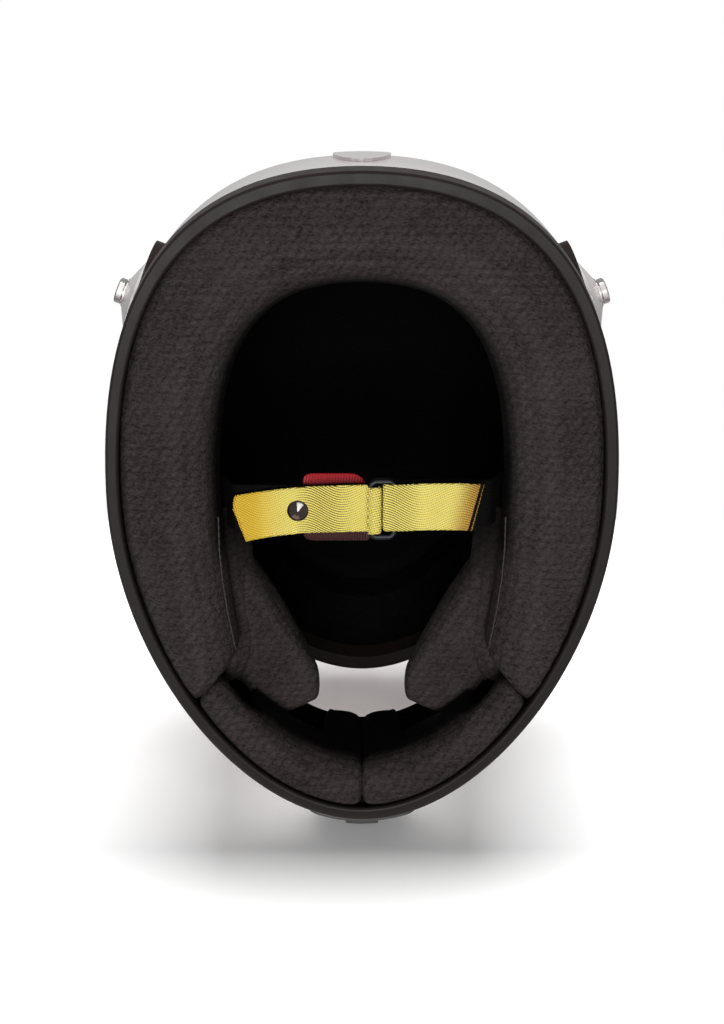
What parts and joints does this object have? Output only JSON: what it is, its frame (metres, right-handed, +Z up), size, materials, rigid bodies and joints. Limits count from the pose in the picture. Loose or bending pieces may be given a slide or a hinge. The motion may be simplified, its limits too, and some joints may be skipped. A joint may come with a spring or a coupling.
{
  "type": "auto racing helmet",
  "caption": "Full-face auto racing helmet with a hinged clear shield, chin strap with rings and snap, chin vent and tether anchor posts.",
  "frame": {"origin": "middle of the base on the floor, under the centre of the whole helmet", "axes": "+Z up to the crown, -Y towards the face, +X towards the wearer's left"},
  "size_m": [0.27, 0.3435, 0.2559],
  "materials": {
    "shell_gloss": "gloss",
    "trim_rubber": "satin",
    "rigid_foam": "matte",
    "knit_fabric": "matte",
    "black_plastic": "satin",
    "polished_steel": "polished",
    "plain_steel": "satin",
    "pivot_aluminium": "satin",
    "clear_shield": "gloss",
    "yellow_webbing": "woven",
    "red_webbing": "woven"
  },
  "bodies": {
    "root": {"outer_shell": "shell_gloss", "base_trim": "trim_rubber", "eye_port_gasket": "trim_rubber", "crown_impact_liner": "rigid_foam", "crown_comfort_liner": "knit_fabric", "chin_bar_impact_liner": "rigid_foam", "liner_snaps": "black_plastic", "neck_roll": "knit_fabric", "chin_pad_left": "knit_fabric", "chin_pad_right": "knit_fabric", "cheek_pad_left": "knit_fabric", "cheek_pad_right": "knit_fabric", "cheek_pad_plate_left": "black_plastic", "cheek_pad_plate_right": "black_plastic", "anchor_gasket_left": "trim_rubber", "anchor_gasket_right": "trim_rubber", "anchor_boss_left": "shell_gloss", "anchor_boss_right": "shell_gloss", "anchor_post_left": "polished_steel", "anchor_post_right": "polished_steel", "anchor_insert_left": "plain_steel", "anchor_insert_right": "plain_steel", "visor_insert_left": "plain_steel", "visor_insert_right": "plain_steel", "visor_pivot_plate_left": "black_plastic", "visor_pivot_plate_right": "black_plastic", "visor_bush_left": "black_plastic", "visor_bush_right": "black_plastic", "visor_screw_left": "pivot_aluminium", "visor_screw_right": "pivot_aluminium", "chin_vent_bezel": "black_plastic", "chin_vent_screen": "plain_steel", "rear_vent_cover": "shell_gloss", "strap_long": "yellow_webbing", "strap_short": "yellow_webbing", "d_ring_inner": "polished_steel", "d_ring_outer": "polished_steel", "snap_stud": "polished_steel", "strap_anchor_left": "plain_steel", "strap_anchor_right": "plain_steel", "strap_rivets": "plain_steel"},
    "visor": {"visor_shield": "clear_shield", "visor_tab": "black_plastic", "tear_off_posts": "black_plastic"},
    "chin_shutter": {"chin_vent_shutter": "black_plastic"},
    "tail": {"strap_tail": "yellow_webbing", "snap_cap": "polished_steel", "snap_socket": "polished_steel"},
    "tab": {"release_tab": "red_webbing"}
  },
  "joints": [
    {"name": "visor_hinge", "type": "hinge", "parent": "root", "child": "visor", "pos_m": [0, -0.00096, 0.148], "axis": [-1, 0, 0], "range_deg": [0, 42]},
    {"name": "chin_vent_slide", "type": "slide", "parent": "root", "child": "chin_shutter", "axis": [0, -0.1962, 0.9806], "range_m": [0, 0.0022]},
    {"name": "tail_hinge", "type": "hinge", "parent": "root", "child": "tail", "pos_m": [-0.002, 0.00004, 0.024], "axis": [0, 1, 0], "range_deg": [0, 60]},
    {"name": "release_tab_hinge", "type": "hinge", "parent": "root", "child": "tab", "pos_m": [-0.0045, -0.00146, 0.0339], "axis": [0, -1, 0], "range_deg": [0, 60]}
  ]
}
